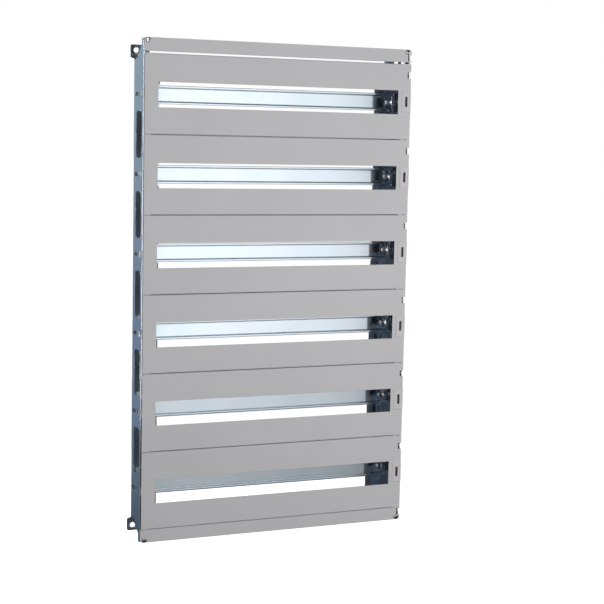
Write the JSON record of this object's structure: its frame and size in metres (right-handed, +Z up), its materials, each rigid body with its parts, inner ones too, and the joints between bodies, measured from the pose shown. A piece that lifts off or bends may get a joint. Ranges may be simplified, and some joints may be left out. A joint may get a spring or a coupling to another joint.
{
  "type": "din rail mounting frame",
  "caption": "Tall open sheet-metal frame with top-hat rails behind hinged grey covers, each with a long cut-out, a sliding latch and a clip hinge.",
  "frame": {"origin": "centre of the four fixing holes, on the back face", "axes": "+X to the right as seen from the front, +Y from the front to the back, +Z up"},
  "size_m": [0.572, 0.0626, 0.953],
  "materials": {
    "zinc_upright": "bright zinc plate, faint blue and violet tint",
    "zinc_rail": "bright zinc plate, drawn lengthways",
    "painted_sheet": "satin light grey powder coat",
    "latch_plastic": "moulded light grey plastic",
    "clip_plastic": "moulded grey plastic",
    "bolt_plastic": "moulded black plastic",
    "screw": "zinc plated steel"
  },
  "bodies": {
    "frame": {"left_upright": "zinc_upright", "right_upright": "zinc_upright", "top_strip": "painted_sheet", "bottom_strip": "painted_sheet", "top_left_screw": "screw", "top_right_screw": "screw", "bottom_left_screw": "screw", "bottom_right_screw": "screw", "din_rail_1": "zinc_rail", "din_rail_1_left_screw": "screw", "din_rail_1_right_screw": "screw", "hinge_bracket_1": "clip_plastic", "din_rail_2": "zinc_rail", "din_rail_2_left_screw": "screw", "din_rail_2_right_screw": "screw", "hinge_bracket_2": "clip_plastic", "din_rail_3": "zinc_rail", "din_rail_3_left_screw": "screw", "din_rail_3_right_screw": "screw", "hinge_bracket_3": "clip_plastic", "din_rail_4": "zinc_rail", "din_rail_4_left_screw": "screw", "din_rail_4_right_screw": "screw", "hinge_bracket_4": "clip_plastic", "din_rail_5": "zinc_rail", "din_rail_5_left_screw": "screw", "din_rail_5_right_screw": "screw", "hinge_bracket_5": "clip_plastic", "din_rail_6": "zinc_rail", "din_rail_6_left_screw": "screw", "din_rail_6_right_screw": "screw", "hinge_bracket_6": "clip_plastic"},
    "cover_1": {"cover_1": "painted_sheet", "hinge_leaf_1": "painted_sheet", "latch_housing_1": "latch_plastic"},
    "bolt_1": {"latch_bolt_1": "bolt_plastic"},
    "cover_2": {"cover_2": "painted_sheet", "hinge_leaf_2": "painted_sheet", "latch_housing_2": "latch_plastic"},
    "bolt_2": {"latch_bolt_2": "bolt_plastic"},
    "cover_3": {"cover_3": "painted_sheet", "hinge_leaf_3": "painted_sheet", "latch_housing_3": "latch_plastic"},
    "bolt_3": {"latch_bolt_3": "bolt_plastic"},
    "cover_4": {"cover_4": "painted_sheet", "hinge_leaf_4": "painted_sheet", "latch_housing_4": "latch_plastic"},
    "bolt_4": {"latch_bolt_4": "bolt_plastic"},
    "cover_5": {"cover_5": "painted_sheet", "hinge_leaf_5": "painted_sheet", "latch_housing_5": "latch_plastic"},
    "bolt_5": {"latch_bolt_5": "bolt_plastic"},
    "cover_6": {"cover_6": "painted_sheet", "hinge_leaf_6": "painted_sheet", "latch_housing_6": "latch_plastic"},
    "bolt_6": {"latch_bolt_6": "bolt_plastic"}
  },
  "joints": [
    {"name": "cover_1_hinge", "type": "hinge", "parent": "frame", "child": "cover_1", "pos_m": [-0.2762, -0.05715, 0.3734], "axis": [0, 0, -1], "range_deg": [0, 105]},
    {"name": "bolt_1_slide", "type": "slide", "parent": "cover_1", "child": "bolt_1", "axis": [1, 0, 0], "range_m": [0, 0.0033]},
    {"name": "cover_2_hinge", "type": "hinge", "parent": "frame", "child": "cover_2", "pos_m": [-0.2762, -0.05715, 0.2234], "axis": [0, 0, -1], "range_deg": [0, 105]},
    {"name": "bolt_2_slide", "type": "slide", "parent": "cover_2", "child": "bolt_2", "axis": [1, 0, 0], "range_m": [0, 0.0033]},
    {"name": "cover_3_hinge", "type": "hinge", "parent": "frame", "child": "cover_3", "pos_m": [-0.2762, -0.05715, 0.0734], "axis": [0, 0, -1], "range_deg": [0, 105]},
    {"name": "bolt_3_slide", "type": "slide", "parent": "cover_3", "child": "bolt_3", "axis": [1, 0, 0], "range_m": [0, 0.0033]},
    {"name": "cover_4_hinge", "type": "hinge", "parent": "frame", "child": "cover_4", "pos_m": [-0.2762, -0.05715, -0.0766], "axis": [0, 0, -1], "range_deg": [0, 105]},
    {"name": "bolt_4_slide", "type": "slide", "parent": "cover_4", "child": "bolt_4", "axis": [1, 0, 0], "range_m": [0, 0.0033]},
    {"name": "cover_5_hinge", "type": "hinge", "parent": "frame", "child": "cover_5", "pos_m": [-0.2762, -0.05715, -0.2266], "axis": [0, 0, -1], "range_deg": [0, 105]},
    {"name": "bolt_5_slide", "type": "slide", "parent": "cover_5", "child": "bolt_5", "axis": [1, 0, 0], "range_m": [0, 0.0033]},
    {"name": "cover_6_hinge", "type": "hinge", "parent": "frame", "child": "cover_6", "pos_m": [-0.2762, -0.05715, -0.3766], "axis": [0, 0, -1], "range_deg": [0, 105]},
    {"name": "bolt_6_slide", "type": "slide", "parent": "cover_6", "child": "bolt_6", "axis": [1, 0, 0], "range_m": [0, 0.0033]}
  ]
}
